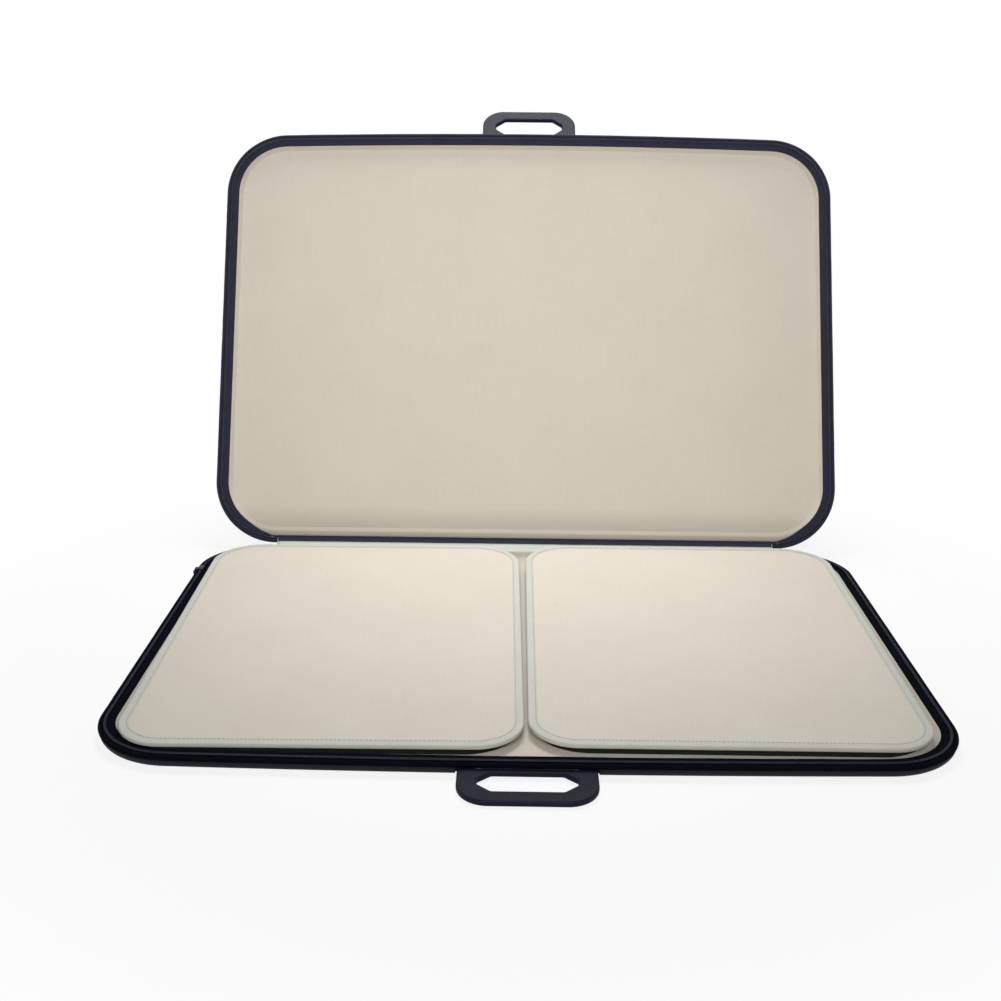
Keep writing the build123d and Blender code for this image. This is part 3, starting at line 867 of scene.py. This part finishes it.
def makeRearStrip():
    x = np.linspace(-rearStrip["half"], rearStrip["half"], 100)
    across = np.linspace(0, 1, 12)
    inset = rearStrip["near"] + (rearStrip["far"] - rearStrip["near"]) * across
    top = hingeHeight(inset) + rearStrip["thick"] * (1 - rearStrip["crown"] * (2 * across - 1) ** 4)
    height = np.concatenate([top, hingeHeight(inset[::-1]) + rearStrip["lift"]])
    inset = np.concatenate([inset, inset[::-1]])
    y = case["depth"] / 2 - inset[None]
    points = capped(np.stack(np.broadcast_arrays(x[:, None], y, height[None]), axis=-1))
    along = np.concatenate([x[:1], x, x[-1:]])
    across = np.cumsum(np.hypot(np.diff(inset), np.diff(height)))
    ring = np.concatenate([[0], across, [2 * rearStrip["far"]]])
    flat = np.stack(np.meshgrid(along, ring, indexing="ij"), axis=-1) * mm
    piece = gridPiece(
        "lidRearStrip", placeLid(points), flat, litLidRimBand, closedColumns=True, solid=True, merge=True
    )
    fit(piece, "lid", ["lid_rear_binding"])
    last = rearStrip["half"] - rearStrip["rowStart"]
    spots = np.arange(-last, last, rearStrip["pitch"])
    level = hingeHeight(rearStrip["stitchInset"]) + rearStrip["thick"]
    y = case["depth"] / 2 - rearStrip["stitchInset"]
    centre = np.stack(np.broadcast_arrays(spots, y, level), axis=-1)
    ahead = placeLid(centre + np.array([1, 0, 0])) - placeLid(centre)
    above = placeLid(centre + np.array([0, 0, 1])) - placeLid(centre)
    frames = (placeLid(centre), ahead / mm, above / mm)
    row = stitches("rearStripStitches", *frames, litLidRimBand, rearStrip["stitch"], rearStrip["thread"])
    fit(row, "lid", [])


makeHinge()
makeRearStrip()
print("hinge:", len(pieces), "pieces")

# Sorting board: a cloth face that rises inside its edge, a tape whose cross-section of (inset, height)
# points is folded over the edge and pleats at the corners, a stitch row, and a dark foam underlay
faceCut = dict(
    low=4.7, high=5.05, inset=(1.2, 5, 8.6, 10.5, 13, 17, 22), rise=(0, 0, 0, 0.35, 0.7, 0.92, 1), rows=24,
    ripple=0.14, seed=dict(left=31, right=47), thick=0.5,
)
edging = dict(
    pleat=0.14, pleats=104, pleatRows=(0, 0.3, 0.7, 1, 1, 0.7, 0.3),
    stitchInset=7.4, stitchLevel=5.44, pitch=4.0, stitch=2.9, thread=0.72,
    section=[
        (9, 4.75), (9, 5.15), (8.5, 5.35), (7, 5.42), (4.6, 5.48), (2.5, 5.46), (1.1, 5.25), (0.35, 4.75),
        (0.02, 4.0), (0, 2.75), (0.02, 1.5), (0.4, 0.7), (1.2, 0.2), (2.6, 0.02), (5, 0), (9, 0.02), (9, 0.7),
        (1.6, 0.75), (0.8, 1.4), (0.8, 4.2), (1.6, 4.72),
    ],
)
underlay = dict(inset=3.1, gap=0.04, edge=1.2)


def makeBoard(side):
    place = placeBoard(side)
    body = side + "_board"
    steps = ringSteps(board, runStep=8, turnSteps=26)
    inset = np.array(faceCut["inset"])
    edge = carry(board, steps, inset, np.full(len(inset), faceCut["low"]))
    share = np.linspace(1, 0, faceCut["rows"])[1:]
    points = np.concatenate([edge, drawnIn(edge[:, -1:], share)], axis=1)
    rise = np.concatenate([faceCut["rise"], np.ones(len(share))])
    ripple = uneven(points[..., 0], points[..., 1], wave=160, seed=faceCut["seed"][side])
    points[..., 2] += (faceCut["high"] - faceCut["low"] + faceCut["ripple"] * ripple) * rise[None]
    flat = flatFromAbove(points)
    face = gridPiece(side + "Face", place(points), flat, faceCloth, closedRows=True, merge=True)
    thicken(face, faceCut["thick"])
    fit(face, body, [body + "_face"])

    inset, height = np.array(edging["section"]).T
    length = ringWalk(board)[0][-1]
    pleat = np.sin(steps / length * 2 * math.pi * edging["pleats"]) * cornerShare(board, steps)
    pleated = np.zeros(len(inset))
    pleated[: len(edging["pleatRows"])] = edging["pleatRows"]
    heights = height[None] + edging["pleat"] * pleat[:, None] * pleated[None]
    points = carry(board, steps, inset, heights)
    flat = stripFlat(board, steps, inset, height, True, True)
    band = gridPiece(
        side + "Binding", place(points), flat, bindingTape, closedRows=True, closedColumns=True, solid=True
    )
    fit(band, body, [body + "_binding"])

    seam = np.arange(0, length, edging["pitch"])
    frames = rowFrames(board, seam, edging["stitchInset"], edging["stitchLevel"], place)
    row = stitches(side + "Stitches", *frames, bindingThread, edging["stitch"], edging["thread"])
    fit(row, body, [])

    outline = dict(board, front=board["rear"])
    span = (underlay["gap"] - board["underlay"], -underlay["gap"])
    under = closedSlab(
        side + "Underlay", outline, underlay["inset"], *span, underlay["edge"], place, underlayFoam
    )
    fit(under, body, [body + "_underlay"])


for side in ("left", "right"):
    makeBoard(side)
    print(side, "board:", len(pieces), "pieces")

# Camera at the place and turn found from the case's outline in the photograph
shot = dict(
    focal=1276.12, image=1001, sensor=36, place=(-16.24, -1262.94, 579.7),
    pitch=18.1616, yaw=-0.5577, roll=0.5474,
)


# Matrix of an object from its turned axes (columns) and its place
def standing(axes, place):
    full = np.eye(4)
    full[:3, :3] = axes
    full[:3, 3] = place
    return Matrix(full.tolist())


def makeCamera():
    pitch, yaw, roll = (math.radians(shot[key]) for key in ("pitch", "yaw", "roll"))
    ahead = np.array([math.sin(yaw) * math.cos(pitch), math.cos(yaw) * math.cos(pitch), -math.sin(pitch)])
    right = np.array([math.cos(yaw), -math.sin(yaw), 0])
    up = np.cross(right, ahead)
    across = right * math.cos(roll) + up * math.sin(roll)
    upright = up * math.cos(roll) - right * math.sin(roll)
    lens = bpy.data.cameras.new("camera")
    lens.sensor_width = shot["sensor"]
    lens.lens = shot["focal"] / shot["image"] * shot["sensor"]
    lens.clip_end = 50
    camera = bpy.data.objects.new("camera", lens)
    axes = np.stack([across, upright, -ahead], axis=1)
    camera.matrix_world = standing(axes, np.multiply(shot["place"], mm))
    bpy.context.scene.collection.objects.link(camera)
    bpy.context.scene.camera = camera


# Pale floor: white where the camera looks, with part of its own shading kept so that the shadow stays. Its
# lengths and the lamps' are metres.
studio = dict(
    floor=40.0, floorDrop=0.0004, floorShade=0.18, fade=(0.42, 0.75), world=0.14,
    white=(1.0, 1.0, 1.0, 1.0), floorColour=(0.9, 0.9, 0.9, 1.0),
    lamps=[
        dict(name="overhead", place=(0.0, 0.8, 1.7), aim=(0.0, 0.22, 0.0), size=0.8, spread=60, power=3.3),
        dict(name="front", place=(-0.15, -2.1, 1.7), aim=(-0.02, 0.46, 0.44), size=1.4, spread=56, power=8.2),
    ],
)


def makeStudio():
    finish = Finish(bpy.data.materials.new("paleFloor"))
    away = finish.node("ShaderNodeVectorMath", dict(operation="LENGTH"), {0: finish.solid()}, "Value")
    kept = studio["floorShade"] * (1 - away.between(*studio["fade"]))
    share = finish.seen() * (1 - kept)
    plain = finish.node("ShaderNodeBsdfDiffuse", None, {"Color": studio["floorColour"]})
    white = finish.node("ShaderNodeEmission", None, {"Color": studio["white"], "Strength": 1.0})
    both = finish.node("ShaderNodeMixShader", None, {0: share, 1: plain, 2: white})
    finish.node("ShaderNodeOutputMaterial", None, {"Surface": both})
    square = np.array([[-1, -1, 0], [1, -1, 0], [1, 1, 0], [-1, 1, 0]])
    corners = square * studio["floor"] - [0, 0, studio["floorDrop"]]
    floor = meshPiece("floor", corners, np.array([[0, 1, 2, 3]]), corners[:, :2], finish.owner)

    world = bpy.data.worlds.new("studio")
    bpy.context.scene.world = world
    air = Finish(world)
    soft = air.node("ShaderNodeBackground", None, {"Color": studio["white"], "Strength": studio["world"]})
    white = air.node("ShaderNodeBackground", None, {"Color": studio["white"], "Strength": 1.0})
    both = air.node("ShaderNodeMixShader", None, {0: air.seen(), 1: soft, 2: white})
    air.node("ShaderNodeOutputWorld", None, {"Surface": both})

    for lamp in studio["lamps"]:
        light = bpy.data.lights.new(lamp["name"], "AREA")
        light.shape = "DISK"
        light.size = lamp["size"]
        light.spread = math.radians(lamp["spread"])
        light.energy = lamp["power"]
        shown = bpy.data.objects.new(lamp["name"], light)
        back = np.array(lamp["place"]) - np.array(lamp["aim"])
        back = back / np.linalg.norm(back)
        side = np.cross([0, 0, 1], back)
        side = side / np.linalg.norm(side)
        shown.matrix_world = standing(np.stack([side, np.cross(back, side), back], axis=1), lamp["place"])
        bpy.context.scene.collection.objects.link(shown)
    bpy.context.scene.view_settings.view_transform = "Standard"


makeCamera()
makeStudio()
print("studio:", len(studio["lamps"]), "lamps")

print("pieces:", len(pieces))
